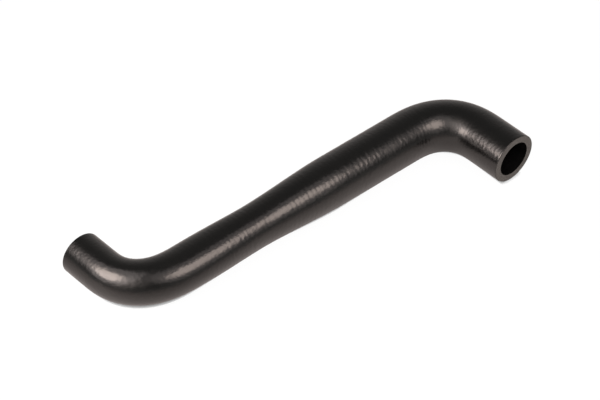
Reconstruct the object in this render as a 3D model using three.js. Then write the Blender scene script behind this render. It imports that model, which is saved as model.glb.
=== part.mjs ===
// Coolant bypass hose: one moulded rubber tube, narrow at one end and wide at the other.
//
// Millimetres, +Z up. The long run lies along +X, from the narrow end's bend to the wide end's bend.
// The narrow end points to +Y and the wide end to -Y, so that the centreline is a flat Z. The hose lies on
// the floor as it comes to rest, with the origin below the middle of its bounding box.

import * as THREE from "three";
import { ConvexHull } from "three/addons/math/ConvexHull.js";
import { mergeVertices } from "three/addons/utils/BufferGeometryUtils.js";

// Section of the tube. Each end's bore is a little smaller than the spigot that it is pushed over. From the
// bore at the end of its step, the wide half widens a little more up to the wide tip.
const NARROW_BORE = 15.5;
const STEP_END_BORE = 20.3;
const WIDE_BORE = 20.8;
const WALL = 4.2;
const EDGE_ROUND = 0.5;

// Straight lengths, and the length of the step in diameter, along the centreline from the narrow end.
const NARROW_TIP_LENGTH = 15.5;
const RUN_BEFORE_STEP = 37.5;
const STEP_LENGTH = 60;
const RUN_AFTER_STEP = 47.5;
const WIDE_TIP_LENGTH = 20;

// A bend tightens over its first length and relaxes over its second one.
const NARROW_BEND = { degrees: 85.7, tightening: 11, relaxing: 42 };
const WIDE_BEND = { degrees: -87.3, tightening: 36.5, relaxing: 19 };

// Just past its bend the narrow tube bulges a little to both sides, but not up and down, as it was pushed
// round the bend on its former. The bulge is fullest at a distance along the centreline, and dies out
// within its reach before and after it.
const BULGE = { sideways: 1, at: 72.5, reach: 44.5 };

// Fineness of the mesh: sides of the round section, and the distance between its rings of vertices.
const SIDES = 32;
const BEND_SPACING = 3;
const STEP_SPACING = 6;
const RUN_SPACING = 14;
const EDGE_SEGMENTS = 3;

const RUBBER = new THREE.MeshStandardMaterial({ color: 0x1b1a19, roughness: 0.45, metalness: 0 });

const UP = new THREE.Vector3(0, 0, 1);
const DOWN = new THREE.Vector3(0, 0, -1);

// Where each stretch starts, as a distance along the centreline.
const bendLength = (bend) => bend.tightening + bend.relaxing;
const narrowBendAt = NARROW_TIP_LENGTH;
const runAt = narrowBendAt + bendLength(NARROW_BEND);
const stepAt = runAt + RUN_BEFORE_STEP;
const wideRunAt = stepAt + STEP_LENGTH;
const wideBendAt = wideRunAt + RUN_AFTER_STEP;
const wideTipAt = wideBendAt + bendLength(WIDE_BEND);
const hoseLength = wideTipAt + WIDE_TIP_LENGTH;

// The angle turned so far in a bend, whose curvature rises and falls again as two half parabolas.
function turned(bend, distance) {
  const { tightening, relaxing } = bend;
  const sharpest = (1.5 * THREE.MathUtils.degToRad(bend.degrees)) / bendLength(bend);
  const before = THREE.MathUtils.clamp(distance, 0, tightening);
  const after = THREE.MathUtils.clamp(distance - tightening, 0, relaxing);
  const whileTightening = before ** 2 / tightening - before ** 3 / (3 * tightening ** 2);
  const whileRelaxing = after - after ** 3 / (3 * relaxing ** 2);
  return sharpest * (whileTightening + whileRelaxing);
}

// The centreline in the XY plane, from the narrow end, with its long run along +X.
class Centreline extends THREE.Curve {
  getTangent(t, target = new THREE.Vector3()) {
    const distance = t * hoseLength;
    const start = -THREE.MathUtils.degToRad(NARROW_BEND.degrees);
    const inNarrowBend = turned(NARROW_BEND, distance - narrowBendAt);
    const inWideBend = turned(WIDE_BEND, distance - wideBendAt);
    const heading = start + inNarrowBend + inWideBend;
    return target.set(Math.cos(heading), Math.sin(heading), 0);
  }

  // Adds up steps of about a millimetre, each along the tangent at its middle.
  getPoint(t, target = new THREE.Vector3()) {
    const tangent = new THREE.Vector3();
    const steps = Math.ceil(t * hoseLength);
    target.set(0, 0, 0);
    for (let i = 0; i < steps; i++) {
      this.getTangent((t * (i + 0.5)) / steps, tangent);
      target.addScaledVector(tangent, (t * hoseLength) / steps);
    }
    return target;
  }
}

function boreRadius(distance) {
  const step = THREE.MathUtils.smoothstep(distance, stepAt, wideRunAt);
  const widening = THREE.MathUtils.smoothstep(distance, wideRunAt, wideTipAt);
  const bore = NARROW_BORE + (STEP_END_BORE - NARROW_BORE) * step + (WIDE_BORE - STEP_END_BORE) * widening;
  return bore / 2;
}

// How far the wall is moved out to each side.
function sideBulge(distance) {
  const fromFullest = Math.min(Math.abs(distance - BULGE.at) / BULGE.reach, 1);
  return BULGE.sideways * Math.cos((fromFullest * Math.PI) / 2) ** 2;
}

// Distances of the rings of vertices: close together in the bends, far apart where the tube is straight.
function ringDistances() {
  const stretches = [
    [narrowBendAt, RUN_SPACING],
    [runAt, BEND_SPACING],
    [stepAt, RUN_SPACING],
    [wideRunAt, STEP_SPACING],
    [wideBendAt, RUN_SPACING],
    [wideTipAt, BEND_SPACING],
    [hoseLength, RUN_SPACING],
  ];
  const rings = [0];
  for (const [end, spacing] of stretches) {
    const start = rings.at(-1);
    const count = Math.ceil((end - start) / spacing);
    for (let i = 1; i <= count; i++) {
      rings.push(THREE.MathUtils.lerp(start, end, i / count));
    }
  }
  return rings;
}

// A quarter round on the outer edge of a cut, as (radius, distance) points.
function roundedEdge(radius, distance, startAngle) {
  const edge = new THREE.Path();
  edge.absarc(radius - EDGE_ROUND, distance, EDGE_ROUND, startAngle, startAngle + Math.PI / 2, false);
  return edge.getPoints(EDGE_SEGMENTS);
}

// The wall's section beside a straight centreline, as (radius, distance) points: up the outside, across the
// wide end's cut, down the bore and across the narrow end's cut to where it began.
function wallSection() {
  const rings = ringDistances();
  const outerRadius = (distance) => boreRadius(distance) + WALL;
  const narrowEdge = roundedEdge(outerRadius(0), EDGE_ROUND, -Math.PI / 2);
  const wideEdge = roundedEdge(outerRadius(hoseLength), hoseLength - EDGE_ROUND, 0);
  const outside = rings.slice(1, -1).map((distance) => new THREE.Vector2(outerRadius(distance), distance));
  const bore = rings.reverse().map((distance) => new THREE.Vector2(boreRadius(distance), distance));
  return [...narrowEdge, ...outside, ...wideEdge, ...bore, narrowEdge[0]];
}

// Turns the tube about a straight axis, Y, then moves each ring of vertices on to the bent centreline, with
// its bulge to the sides.
function bentTube() {
  const turnedTube = new THREE.LatheGeometry(wallSection(), SIDES);
  turnedTube.deleteAttribute("normal");
  turnedTube.deleteAttribute("uv");
  const tube = mergeVertices(turnedTube);
  const centreline = new Centreline();
  const vertices = tube.attributes.position;
  for (let i = 0; i < vertices.count; i++) {
    const distance = vertices.getY(i);
    const radius = Math.hypot(vertices.getX(i), vertices.getZ(i));
    const sideways = vertices.getX(i) * (1 + sideBulge(distance) / radius);
    const side = centreline.getTangent(distance / hoseLength).cross(UP);
    const place = centreline.getPoint(distance / hoseLength);
    place.addScaledVector(side, sideways).addScaledVector(UP, vertices.getZ(i));
    vertices.setXYZ(i, ...place);
  }
  tube.computeVertexNormals();
  return tube;
}

function trianglesOf(geometry) {
  const { attributes, index } = geometry;
  const corner = (i) => new THREE.Vector3().fromBufferAttribute(attributes.position, index.getX(i));
  const triangles = [];
  for (let i = 0; i < index.count; i += 3) {
    triangles.push(new THREE.Triangle(corner(i), corner(i + 1), corner(i + 2)));
  }
  return triangles;
}

// Weighs the tetrahedron between the origin and each triangle.
function centreOfMass(triangles) {
  const centre = new THREE.Vector3();
  let volume = 0;
  for (const { a, b, c } of triangles) {
    const part = a.dot(b.clone().cross(c)) / 6;
    volume += part;
    centre.addScaledVector(a.clone().add(b).add(c), part / 4);
  }
  return centre.divideScalar(volume);
}

// The hose stands on the face of its convex hull that the centre of mass is straight above. The wide half
// is fatter than the narrow one, so the hose lies tilted by about two degrees.
function restingSide(geometry) {
  const triangles = trianglesOf(geometry);
  const centre = centreOfMass(triangles);
  const hull = new ConvexHull().setFromPoints(triangles.flatMap(({ a, b, c }) => [a, b, c]));
  const carriesCentre = (face) => {
    const [a, b, c] = [0, 1, 2].map((i) => face.getEdge(i).head().point);
    return new THREE.Triangle(a, b, c).containsPoint(centre);
  };
  const normals = hull.faces.filter(carriesCentre).map((face) => face.normal);
  return normals.reduce((lowest, normal) => (normal.z < lowest.z ? normal : lowest));
}

const hose = new THREE.Mesh(bentTube(), RUBBER);
hose.name = "hose";
hose.quaternion.setFromUnitVectors(restingSide(hose.geometry), DOWN);
const box = new THREE.Box3().setFromObject(hose, true);
const middle = box.getCenter(new THREE.Vector3());
hose.position.set(-middle.x, -middle.y, -box.min.z);

const bypassHose = new THREE.Group();
bypassHose.add(hose);

export default bypassHose;
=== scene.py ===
from math import atan2, ceil, cos, hypot, pi, radians, sin

import bmesh
import bpy
from mathutils import Matrix, Vector, noise


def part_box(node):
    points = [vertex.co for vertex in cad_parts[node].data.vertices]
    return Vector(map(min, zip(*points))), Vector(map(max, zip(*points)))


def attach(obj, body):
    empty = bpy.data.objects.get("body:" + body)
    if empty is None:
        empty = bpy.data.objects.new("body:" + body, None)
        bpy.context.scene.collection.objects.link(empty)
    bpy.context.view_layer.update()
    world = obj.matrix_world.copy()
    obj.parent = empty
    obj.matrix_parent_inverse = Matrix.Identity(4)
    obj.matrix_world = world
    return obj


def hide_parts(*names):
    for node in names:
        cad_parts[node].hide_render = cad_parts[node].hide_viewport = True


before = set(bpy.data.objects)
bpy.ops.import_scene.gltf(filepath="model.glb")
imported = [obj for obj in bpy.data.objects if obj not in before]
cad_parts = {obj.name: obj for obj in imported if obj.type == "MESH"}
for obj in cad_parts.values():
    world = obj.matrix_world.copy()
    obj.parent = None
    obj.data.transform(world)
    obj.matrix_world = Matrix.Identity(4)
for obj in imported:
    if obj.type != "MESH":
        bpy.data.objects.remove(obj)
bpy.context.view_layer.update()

# The hose
# One moulded rubber tube, narrow at one end and wide at the other. It is cured on a bent former, so it keeps
# its bends and its step in diameter, and both ends are cut square with a knife afterwards.
NARROW_BORE = 0.0155
STEP_END_BORE = 0.0203
WIDE_BORE = 0.0208
WALL = 0.0042
EDGE_ROUND = 0.0003

NARROW_TIP_LENGTH = 0.0155
RUN_BEFORE_STEP = 0.0375
STEP_LENGTH = 0.060
RUN_AFTER_STEP = 0.0475
WIDE_TIP_LENGTH = 0.020
NARROW_BEND = {"angle": radians(85.7), "tightening": 0.011, "relaxing": 0.042}
WIDE_BEND = {"angle": radians(-87.3), "tightening": 0.0365, "relaxing": 0.019}
BULGE = {"sideways": 0.001, "at": 0.0725, "reach": 0.0445}

# The wide half is fatter, so the flat hose leans as it lies: this is the direction square to its two bends.
HOSE_UP = Vector((-0.02133, -0.03236, 0.99925))

SIDES = 96
OUTSIDE_RING_SPACING = 0.00045
BORE_RING_SPACING = 0.0015
CENTRELINE_STEP = 0.00025
CUT_RINGS = 6
EDGE_SEGMENTS = 4
NEAR_ENOUGH = 1e-6
SQUARE_ENOUGH = 0.99

narrow_bend_at = NARROW_TIP_LENGTH
run_at = narrow_bend_at + NARROW_BEND["tightening"] + NARROW_BEND["relaxing"]
step_at = run_at + RUN_BEFORE_STEP
wide_run_at = step_at + STEP_LENGTH
wide_bend_at = wide_run_at + RUN_AFTER_STEP
wide_tip_at = wide_bend_at + WIDE_BEND["tightening"] + WIDE_BEND["relaxing"]
hose_length = wide_tip_at + WIDE_TIP_LENGTH


def clamp(value, low, high):
    return min(max(value, low), high)


def smoothstep(value, start, end):
    share = clamp((value - start) / (end - start), 0, 1)
    return share * share * (3 - 2 * share)


def turned(bend, distance):
    """The angle turned so far in a bend, whose curvature rises and falls as two half parabolas."""
    tightening, relaxing = bend["tightening"], bend["relaxing"]
    sharpest = 1.5 * bend["angle"] / (tightening + relaxing)
    before = clamp(distance, 0, tightening)
    after = clamp(distance - tightening, 0, relaxing)
    while_tightening = before**2 / tightening - before**3 / (3 * tightening**2)
    while_relaxing = after - after**3 / (3 * relaxing**2)
    return sharpest * (while_tightening + while_relaxing)


def direction(distance):
    """The way that the centreline points, at a distance along it from the narrow end."""
    in_narrow_bend = turned(NARROW_BEND, distance - narrow_bend_at)
    in_wide_bend = turned(WIDE_BEND, distance - wide_bend_at)
    heading = in_narrow_bend + in_wide_bend - NARROW_BEND["angle"]
    return Vector((cos(heading), sin(heading), 0))


centreline = [Vector((0, 0, 0))]
for i in range(ceil(hose_length / CENTRELINE_STEP)):
    centreline.append(centreline[-1] + CENTRELINE_STEP * direction((i + 0.5) * CENTRELINE_STEP))


def bore_radius(distance):
    step = smoothstep(distance, step_at, wide_run_at)
    widening = smoothstep(distance, wide_run_at, wide_tip_at)
    return (NARROW_BORE + (STEP_END_BORE - NARROW_BORE) * step + (WIDE_BORE - STEP_END_BORE) * widening) / 2


def side_bulge(distance):
    """How far the wall is moved out to each side, just past the narrow bend."""
    from_fullest = min(abs(distance - BULGE["at"]) / BULGE["reach"], 1)
    return BULGE["sideways"] * cos(from_fullest * pi / 2) ** 2


# The hose was cured in a wrapping and not in a polished mould, so its skin is a little uneven: faint rings at
# a steady pitch, looser ones between them, small blotches and a slow waviness. The heights of both kinds of
# ring change along the hose, and are given as (distance, height).
RING_PITCH = 0.0029
RING_HEIGHTS = ((0.050, 0.000003), (0.090, 0.000018), (0.140, 0.000018), (0.170, 0.000009))
RING_DRIFT = 0.35
RING_DRIFT_LENGTH = 0.011
RING_STRENGTH = 0.8
RING_STRENGTH_CHANGE = 1.2
RING_STRENGTH_LENGTH = 0.007
LOOSE_RING_LENGTH = 0.0026
LOOSE_RING_HEIGHTS = (
    (0.060, 0.000015), (0.110, 0.000028), (0.190, 0.000032), (0.228, 0.000045), (0.245, 0.000012),
)
BLOTCH_SIZE = 0.0013
BLOTCH_HEIGHT = 0.00004
WAVE_LENGTH = 0.018
WAVE_HEIGHT = 0.00005
CUT_WAVE_LENGTH = 0.004
CUT_WAVE_HEIGHT = 0.00006

inner = NARROW_BORE / 2
outer = inner + WALL


def wander(distance, angle, length, turns):
    """Smooth noise with a length along the hose, read on a circle so that it closes round the hose."""
    return noise.noise(Vector((distance / length, turns * cos(angle), turns * sin(angle))))


def height_at(distance, heights):
    """A height that changes steadily between given places along the hose."""
    height = heights[0][1]
    for (start, low), (end, high) in zip(heights, heights[1:]):
        height += (high - low) * clamp((distance - start) / (end - start), 0, 1)
    return height


def skin_relief(distance, angle):
    """How far the skin stands out from the smooth tube."""
    change = RING_STRENGTH_CHANGE * wander(distance, angle, RING_STRENGTH_LENGTH, turns=0.8)
    strength = RING_STRENGTH + change
    drift = RING_DRIFT * wander(distance, angle, RING_DRIFT_LENGTH, turns=1.5)
    rings = height_at(distance, RING_HEIGHTS) * strength * sin(2 * pi * (distance / RING_PITCH + drift))
    loose_height = height_at(distance, LOOSE_RING_HEIGHTS)
    loose_rings = loose_height * wander(distance, angle, LOOSE_RING_LENGTH, turns=3)
    blotches = BLOTCH_HEIGHT * wander(distance, angle, BLOTCH_SIZE, turns=outer / BLOTCH_SIZE)
    waves = WAVE_HEIGHT * wander(distance, angle, WAVE_LENGTH, turns=1.1)
    return rings + loose_rings + blotches + waves


# The tube starts straight, standing on its narrow end. A slim section is spun about Z, and its outer edges
# are rounded.
tube = bmesh.new()
section = ((inner, 0), (outer, 0), (outer, hose_length), (inner, hose_length))
corners = [tube.verts.new((x, 0, z)) for x, z in section]
for i, corner in enumerate(corners):
    tube.edges.new((corners[i - 1], corner))
bmesh.ops.spin(
    tube, geom=tube.verts[:] + tube.edges[:], cent=(0, 0, 0), axis=(0, 0, 1), angle=2 * pi, steps=SIDES,
    use_merge=True,
)
bmesh.ops.remove_doubles(tube, verts=tube.verts, dist=NEAR_ENOUGH)


def radius_of(vert):
    return hypot(vert.co.x, vert.co.y)


def is_on_outside(vert):
    return radius_of(vert) > outer - NEAR_ENOUGH


def is_outer_edge_of_cut(edge):
    one, other = edge.verts
    return is_on_outside(one) and is_on_outside(other) and abs(one.co.z - other.co.z) < NEAR_ENOUGH


def runs_along_hose(edge):
    return edge.calc_length() > hose_length / 2


bmesh.ops.bevel(
    tube, geom=[edge for edge in tube.edges if is_outer_edge_of_cut(edge)], offset=EDGE_ROUND,
    offset_type="OFFSET", segments=EDGE_SEGMENTS, profile=0.5, affect="EDGES", material=-1,
)
outside_edges = [edge for edge in tube.edges if runs_along_hose(edge) and is_on_outside(edge.verts[0])]
outside_rings = ceil(hose_length / OUTSIDE_RING_SPACING)
bmesh.ops.subdivide_edges(tube, edges=outside_edges, cuts=outside_rings, use_grid_fill=True)
bore_edges = [edge for edge in tube.edges if runs_along_hose(edge)]
bore_rings = ceil(hose_length / BORE_RING_SPACING)
bmesh.ops.subdivide_edges(tube, edges=bore_edges, cuts=bore_rings, use_grid_fill=True)
cut_width = WALL - EDGE_ROUND
cut_edges = [edge for edge in tube.edges if abs(edge.calc_length() - cut_width) < NEAR_ENOUGH]
bmesh.ops.subdivide_edges(tube, edges=cut_edges, cuts=CUT_RINGS, use_grid_fill=True)
bmesh.ops.recalc_face_normals(tube, faces=tube.faces)

SKIN, CUT, BORE = 0, 1, 2
for face in tube.faces:
    face.smooth = True
    if abs(face.normal.z) > SQUARE_ENOUGH:
        face.material_index = CUT
    elif all(radius_of(vert) < inner + NEAR_ENOUGH for vert in face.verts):
        face.material_index = BORE
for edge in tube.edges:
    edge.smooth = len({face.material_index for face in edge.link_faces}) == 1

# Each vertex keeps its place on the straight tube for the materials, then moves on to the bent centreline.
straight = tube.verts.layers.float_vector.new("straight_place")
for vert in tube.verts:
    vert[straight] = vert.co
    distance = vert.co.z
    angle = atan2(vert.co.y, vert.co.x)
    depth = (radius_of(vert) - inner) / WALL
    radius = bore_radius(distance) + depth * WALL + depth * skin_relief(distance, angle)
    if distance < NEAR_ENOUGH or distance > hose_length - NEAR_ENOUGH:
        distance += CUT_WAVE_HEIGHT * noise.noise(vert.co / CUT_WAVE_LENGTH)
    nearest = clamp(round(distance / CENTRELINE_STEP), 0, len(centreline) - 1)
    along = direction(distance)
    side = along.cross(Vector((0, 0, 1)))
    vert.co = centreline[nearest] + (distance - nearest * CENTRELINE_STEP) * along
    vert.co += (radius + side_bulge(distance)) * cos(angle) * side + Vector((0, 0, radius * sin(angle)))

lean = Vector((0, 0, 1)).rotation_difference(HOSE_UP).to_matrix().to_4x4()
bmesh.ops.transform(tube, matrix=lean, verts=tube.verts)
box_low, box_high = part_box("hose")
own_low = Vector([min(vert.co[axis] for vert in tube.verts) for axis in range(3)])
own_high = Vector([max(vert.co[axis] for vert in tube.verts) for axis in range(3)])
shift = (box_low + box_high - own_low - own_high) / 2
shift.z = box_low.z - own_low.z
bmesh.ops.translate(tube, vec=shift, verts=tube.verts)

hose_mesh = bpy.data.meshes.new("bypass_hose")
tube.to_mesh(hose_mesh)
tube.free()
hose = bpy.data.objects.new("bypass_hose", hose_mesh)
bpy.context.scene.collection.objects.link(hose)


def link_all(tree, *pairs):
    for source, target in pairs:
        tree.links.new(source, target)


# Black rubber is never quite one colour or quite flat: its filler shows as paler, duller patches with a fine
# grain.
mottle = bpy.data.node_groups.new("mottled_rubber", "ShaderNodeTree")
for name, kind in (
    ("Place", "NodeSocketVector"), ("Patch Scale", "NodeSocketFloat"), ("Grain Scale", "NodeSocketFloat"),
    ("Dark", "NodeSocketColor"), ("Pale", "NodeSocketColor"), ("Smooth", "NodeSocketFloat"),
    ("Dull", "NodeSocketFloat"),
):
    mottle.interface.new_socket(name, in_out="INPUT", socket_type=kind)
for name, kind in (
    ("Color", "NodeSocketColor"), ("Roughness", "NodeSocketFloat"), ("Height", "NodeSocketFloat"),
):
    mottle.interface.new_socket(name, in_out="OUTPUT", socket_type=kind)
given = mottle.nodes.new("NodeGroupInput").outputs
result = mottle.nodes.new("NodeGroupOutput").inputs
patches = mottle.nodes.new("ShaderNodeTexNoise")
patches.inputs["Detail"].default_value = 3
grain = mottle.nodes.new("ShaderNodeTexNoise")
grain.inputs["Detail"].default_value = 2
evened = mottle.nodes.new("ShaderNodeMapRange")
evened.inputs["From Min"].default_value = 0.3
evened.inputs["From Max"].default_value = 0.7
colour = mottle.nodes.new("ShaderNodeMix")
colour.data_type = "RGBA"
roughness = mottle.nodes.new("ShaderNodeMapRange")
link_all(
    mottle,
    (given["Place"], patches.inputs["Vector"]),
    (given["Patch Scale"], patches.inputs["Scale"]),
    (given["Place"], grain.inputs["Vector"]),
    (given["Grain Scale"], grain.inputs["Scale"]),
    (patches.outputs["Fac"], evened.inputs["Value"]),
    (evened.outputs["Result"], colour.inputs["Factor"]),
    (given["Dark"], colour.inputs["A"]),
    (given["Pale"], colour.inputs["B"]),
    (evened.outputs["Result"], roughness.inputs["Value"]),
    (given["Smooth"], roughness.inputs["To Min"]),
    (given["Dull"], roughness.inputs["To Max"]),
    (colour.outputs["Result"], result["Color"]),
    (roughness.outputs["Result"], result["Roughness"]),
    (grain.outputs["Fac"], result["Height"]),
)


def rubber(name, patch_scale, grain_scale, dark, pale, smooth, dull, relief):
    """A rubber finish: the mottling with its own values, and its grain as a bump of a given relief."""
    material = bpy.data.materials.new(name)
    material.use_nodes = True
    tree = material.node_tree
    place = tree.nodes.new("ShaderNodeAttribute")
    place.attribute_name = "straight_place"
    mottling = tree.nodes.new("ShaderNodeGroup")
    mottling.node_tree = mottle
    mottling.inputs["Patch Scale"].default_value = patch_scale
    mottling.inputs["Grain Scale"].default_value = grain_scale
    mottling.inputs["Dark"].default_value = (*dark, 1)
    mottling.inputs["Pale"].default_value = (*pale, 1)
    mottling.inputs["Smooth"].default_value = smooth
    mottling.inputs["Dull"].default_value = dull
    bump = tree.nodes.new("ShaderNodeBump")
    bump.inputs["Distance"].default_value = relief
    shader = tree.nodes["Principled BSDF"]
    link_all(
        tree,
        (place.outputs["Vector"], mottling.inputs["Place"]),
        (mottling.outputs["Color"], shader.inputs["Base Color"]),
        (mottling.outputs["Roughness"], shader.inputs["Roughness"]),
        (mottling.outputs["Height"], bump.inputs["Height"]),
        (bump.outputs["Normal"], shader.inputs["Normal"]),
    )
    hose_mesh.materials.append(material)
    return shader


# The three finishes go into the mesh in the order of SKIN, CUT and BORE.
skin = rubber(
    "satin_black_rubber", patch_scale=250, grain_scale=750, dark=(0.0002, 0.0002, 0.0002),
    pale=(0.0008, 0.0008, 0.0008), smooth=0.195, dull=0.225, relief=0.00008,
)
skin.inputs["IOR"].default_value = 1.63
skin.inputs["Specular Tint"].default_value = (1.0, 0.97, 0.95, 1)
cut = rubber(
    "cut_rubber", patch_scale=700, grain_scale=2500, dark=(0.091, 0.086, 0.081), pale=(0.109, 0.103, 0.097),
    smooth=0.8, dull=0.9, relief=0.00003,
)
cut.inputs["Specular IOR Level"].default_value = 0.2
bore = rubber(
    "bore_rubber", patch_scale=300, grain_scale=1200, dark=(0.001, 0.001, 0.001), pale=(0.002, 0.002, 0.002),
    smooth=0.6, dull=0.75, relief=0.00003,
)
bore.inputs["Specular IOR Level"].default_value = 0.1

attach(hose, "root")
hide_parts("hose")

# The floor
# A wide white table that the hose lies on, so bright that it looks pure white but for the hose's soft shadow
# and a painted contact shade. In reflections it shows a painted pool of light, a glow that is long and
# brightest at the narrow bend.
FLOOR_RADIUS = 3.0
FLOOR_COLOUR = (0.84, 0.88, 0.90, 1)
CAMERA_SEES_GLOW = 0.92
CAMERA_GLOW = 1.04
# The painted pool of light, which the table shows only in reflections and refractions.
POOL_PLACE = (-0.148, 0.0165, 0)
POOL_SIZE = (0.105, 0.0157, 1)
POOL_TURN = radians(-14.6)
PAINTED_POOL_BRIGHTNESS = 1.16
POOL_FALL_OFF = 0.174
PAINTED_POOL_COLOUR = (1.0, 0.89, 0.85, 1)

# How far from a point of the table the hose is sought when shade is painted there, and the power that shapes
# it.
REFLECTION_SHADE_REACH = 0.010
REFLECTION_SHADE_POWER = 0.5
CONTACT_SHADE_REACH = 0.020
CONTACT_SHADE_POWER = 1.6
NARROW_GAP_REACH = 0.0020
NARROW_GAP_POWER = 4.0

floor_shape = bmesh.new()
bmesh.ops.create_circle(floor_shape, cap_ends=True, segments=96, radius=FLOOR_RADIUS)
floor_mesh = bpy.data.meshes.new("table")
floor_shape.to_mesh(floor_mesh)
floor_shape.free()
floor = bpy.data.objects.new("table", floor_mesh)
bpy.context.scene.collection.objects.link(floor)
table_white = bpy.data.materials.new("table_white")
table_white.use_nodes = True
table = table_white.node_tree


def math_node(tree, operation, *values):
    """A Math node on sockets or numbers."""
    node = tree.nodes.new("ShaderNodeMath")
    node.operation = operation
    for socket, value in zip(node.inputs, values):
        if isinstance(value, bpy.types.NodeSocket):
            tree.links.new(value, socket)
        else:
            socket.default_value = value
    return node.outputs["Value"]


def open_share(reach):
    """How open the table is to the light, within a reach: 1 far from the hose and less beside it."""
    openness = table.nodes.new("ShaderNodeAmbientOcclusion")
    openness.samples = 6
    openness.inputs["Distance"].default_value = reach
    return openness.outputs["AO"]


plain = table.nodes["Principled BSDF"]
plain.inputs["Base Color"].default_value = FLOOR_COLOUR
plain.inputs["Roughness"].default_value = 0.9
plain.inputs["Specular IOR Level"].default_value = 0.0

# The painted pool of light is an ellipse that fades with the distance from its middle. The table glows with
# it only in reflections and refractions, and painted shade dims it beside the hose.
from_pool = table.nodes.new("ShaderNodeMapping")
from_pool.vector_type = "TEXTURE"
from_pool.inputs["Location"].default_value = POOL_PLACE
from_pool.inputs["Rotation"].default_value = (0, 0, POOL_TURN)
from_pool.inputs["Scale"].default_value = POOL_SIZE
squared = table.nodes.new("ShaderNodeVectorMath")
squared.operation = "DOT_PRODUCT"
place = table.nodes.new("ShaderNodeTexCoord")
link_all(
    table,
    (place.outputs["Object"], from_pool.inputs["Vector"]),
    (from_pool.outputs["Vector"], squared.inputs[0]),
    (from_pool.outputs["Vector"], squared.inputs[1]),
)
fading = math_node(table, "POWER", math_node(table, "ADD", squared.outputs["Value"], 1.0), POOL_FALL_OFF)
painted_pool_level = math_node(table, "DIVIDE", PAINTED_POOL_BRIGHTNESS, fading)
# Painted shade: the pool's glow is dimmed where the hose is near the table.
painted_shade_beside_hose = math_node(table, "POWER", open_share(REFLECTION_SHADE_REACH), REFLECTION_SHADE_POWER)
painted_pool_glow = table.nodes.new("ShaderNodeEmission")
painted_pool_glow.inputs["Color"].default_value = PAINTED_POOL_COLOUR

# To the camera the table glows, except in the narrow gap under the hose, where painted shade darkens the
# glow.
shut_in = math_node(table, "SUBTRACT", 1.0, open_share(CONTACT_SHADE_REACH))
under_hose = math_node(table, "POWER", shut_in, CONTACT_SHADE_POWER)
open_gap = math_node(table, "POWER", open_share(NARROW_GAP_REACH), NARROW_GAP_POWER)
in_narrow_gap = math_node(table, "SUBTRACT", 1.0, open_gap)
painted_contact_shade = math_node(table, "MULTIPLY", under_hose, in_narrow_gap)
unshaded = math_node(table, "SUBTRACT", 1.0, painted_contact_shade)
camera_glow = table.nodes.new("ShaderNodeEmission")

path = table.nodes.new("ShaderNodeLightPath").outputs
off_hose = math_node(table, "MAXIMUM", path["Is Glossy Ray"], path["Is Transmission Ray"])
to_camera = math_node(table, "MULTIPLY", path["Is Camera Ray"], CAMERA_SEES_GLOW)
as_reflected = table.nodes.new("ShaderNodeMixShader")
as_seen = table.nodes.new("ShaderNodeMixShader")
link_all(
    table,
    (math_node(table, "MULTIPLY", painted_pool_level, painted_shade_beside_hose), painted_pool_glow.inputs["Strength"]),
    (off_hose, as_reflected.inputs["Fac"]),
    (plain.outputs["BSDF"], as_reflected.inputs[1]),
    (painted_pool_glow.outputs["Emission"], as_reflected.inputs[2]),
    (math_node(table, "MULTIPLY", unshaded, CAMERA_GLOW), camera_glow.inputs["Strength"]),
    (to_camera, as_seen.inputs["Fac"]),
    (as_reflected.outputs["Shader"], as_seen.inputs[1]),
    (camera_glow.outputs["Emission"], as_seen.inputs[2]),
    (as_seen.outputs["Shader"], table.nodes["Material Output"].inputs["Surface"]),
)
floor_mesh.materials.append(table_white)

# The light
# Two round soft boxes on the camera's side, one to its left and one to its right, each with a brighter
# middle. Each lamp faces the middle of the hose.
SOFT_BOX_COLOUR = (1.0, 0.92, 0.91)
MIDDLE_COLOUR = (1.0, 0.86, 0.785)


def towards(azimuth, elevation):
    """A direction, with azimuth 0 along +Y and 90 along +X, both angles in degrees."""
    azimuth, elevation = radians(azimuth), radians(elevation)
    return Vector((sin(azimuth) * cos(elevation), cos(azimuth) * cos(elevation), sin(elevation)))


def soft_box(name, direction, distance, width, height, radiance, colour):
    light = bpy.data.lights.new(name, "AREA")
    light.shape = "ELLIPSE"
    light.size = width
    light.size_y = height
    light.energy = radiance * pi * (pi / 4 * width * height)
    light.color = colour
    lamp = bpy.data.objects.new(name, light)
    bpy.context.scene.collection.objects.link(lamp)
    lamp.location = distance * direction
    lamp.rotation_euler = direction.to_track_quat("Z", "Y").to_euler()
    lamp.visible_camera = False


soft_box(
    "left_soft_box", towards(-80, 40), distance=0.25, width=0.195, height=0.27, radiance=1.25,
    colour=SOFT_BOX_COLOUR,
)
soft_box(
    "left_soft_box_middle", towards(-79.5, 36), distance=0.32, width=0.155, height=0.15, radiance=6.6,
    colour=MIDDLE_COLOUR,
)
soft_box(
    "right_soft_box", towards(169.5, 46.5), distance=0.495, width=0.605, height=0.655, radiance=0.68,
    colour=SOFT_BOX_COLOUR,
)
soft_box(
    "right_soft_box_middle", towards(165.5, 44.5), distance=0.755, width=0.455, height=0.395, radiance=4.3,
    colour=MIDDLE_COLOUR,
)

# The room
# It is dim, a little paler towards the horizon, and has three soft warm patches where pale walls and ceiling
# catch the light of the soft boxes. To the camera it is plain white.
ROOM_LEVEL = 0.19
HORIZON_LEVEL = 0.335
HORIZON_NARROWNESS = 10
ROOM_COLOUR = (1.0, 0.985, 0.96, 1)
PATCH_COLOUR = (1.0, 0.90, 0.86, 1)

world = bpy.data.worlds.new("room")
world.use_nodes = True
room = world.node_tree
looking = room.nodes.new("ShaderNodeTexCoord").outputs["Generated"]


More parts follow.
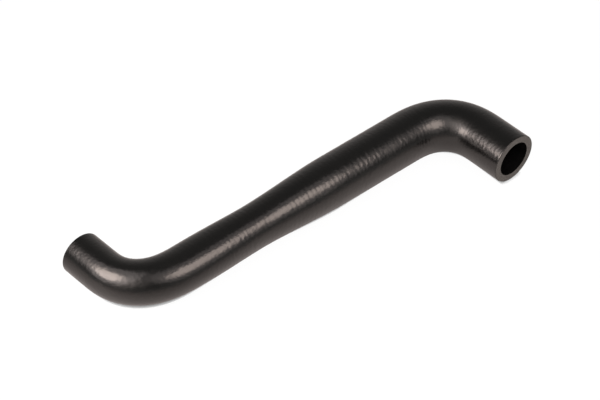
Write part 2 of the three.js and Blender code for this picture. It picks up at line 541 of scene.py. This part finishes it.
def patch_towards(direction, strength, narrowness):
    """The brightness of a soft patch of the room that lies in one direction."""
    facing = room.nodes.new("ShaderNodeVectorMath")
    facing.operation = "DOT_PRODUCT"
    room.links.new(looking, facing.inputs[0])
    facing.inputs[1].default_value = direction
    ahead = math_node(room, "MAXIMUM", facing.outputs["Value"], 0.0)
    return math_node(room, "MULTIPLY", math_node(room, "POWER", ahead, narrowness), strength)


looking_at = room.nodes.new("ShaderNodeSeparateXYZ")
room.links.new(looking, looking_at.inputs["Vector"])
nearness_to_horizon = math_node(room, "SUBTRACT", 1.0, math_node(room, "ABSOLUTE", looking_at.outputs["Z"]))
horizon = math_node(room, "POWER", nearness_to_horizon, HORIZON_NARROWNESS)
dim_level = math_node(room, "ADD", math_node(room, "MULTIPLY", horizon, HORIZON_LEVEL), ROOM_LEVEL)
patches_level = 0.0
for patch in (
    patch_towards(towards(-104, 41), strength=2.5, narrowness=12),
    patch_towards(towards(-68, 35.5), strength=2.15, narrowness=60),
    patch_towards(towards(41, 14.5), strength=0.23, narrowness=11),
):
    patches_level = math_node(room, "ADD", patches_level, patch)

seen_by_camera = room.nodes.new("ShaderNodeLightPath").outputs["Is Camera Ray"]
dim_colour = room.nodes.new("ShaderNodeMix")
dim_colour.data_type = "RGBA"
dim_colour.inputs["A"].default_value = ROOM_COLOUR
dim_colour.inputs["B"].default_value = (1.0, 1.0, 1.0, 1)
dim_room = room.nodes["Background"]
bright_patches = room.nodes.new("ShaderNodeBackground")
bright_patches.inputs["Color"].default_value = PATCH_COLOUR
whole_room = room.nodes.new("ShaderNodeAddShader")
link_all(
    room,
    (seen_by_camera, dim_colour.inputs["Factor"]),
    (dim_colour.outputs["Result"], dim_room.inputs["Color"]),
    (math_node(room, "MAXIMUM", dim_level, seen_by_camera), dim_room.inputs["Strength"]),
    (patches_level, bright_patches.inputs["Strength"]),
    (dim_room.outputs["Background"], whole_room.inputs[0]),
    (bright_patches.outputs["Background"], whole_room.inputs[1]),
    (whole_room.outputs["Shader"], room.nodes["World Output"].inputs["Surface"]),
)
bpy.context.scene.world = world

# The camera
# A long lens, looking down at the hose from over its near side.
CAMERA_AZIMUTH = radians(-39.405)
CAMERA_ELEVATION = radians(42.57)
CAMERA_ROLL = radians(-0.604)
CAMERA_DISTANCE = 0.9608
CAMERA_TARGET = Vector((0.0004, 0.0043, 0.013))

camera_data = bpy.data.cameras.new("camera")
camera_data.lens = 108
camera_data.sensor_width = 36
camera = bpy.data.objects.new("camera", camera_data)
bpy.context.scene.collection.objects.link(camera)
turn = Matrix.Rotation(CAMERA_AZIMUTH, 4, "Z") @ Matrix.Rotation(pi / 2 - CAMERA_ELEVATION, 4, "X")
turn @= Matrix.Rotation(CAMERA_ROLL, 4, "Z")
backwards = turn @ Vector((0, 0, 1))
camera.matrix_world = Matrix.Translation(CAMERA_TARGET + CAMERA_DISTANCE * backwards) @ turn
bpy.context.scene.camera = camera
bpy.context.scene.view_settings.view_transform = "Standard"
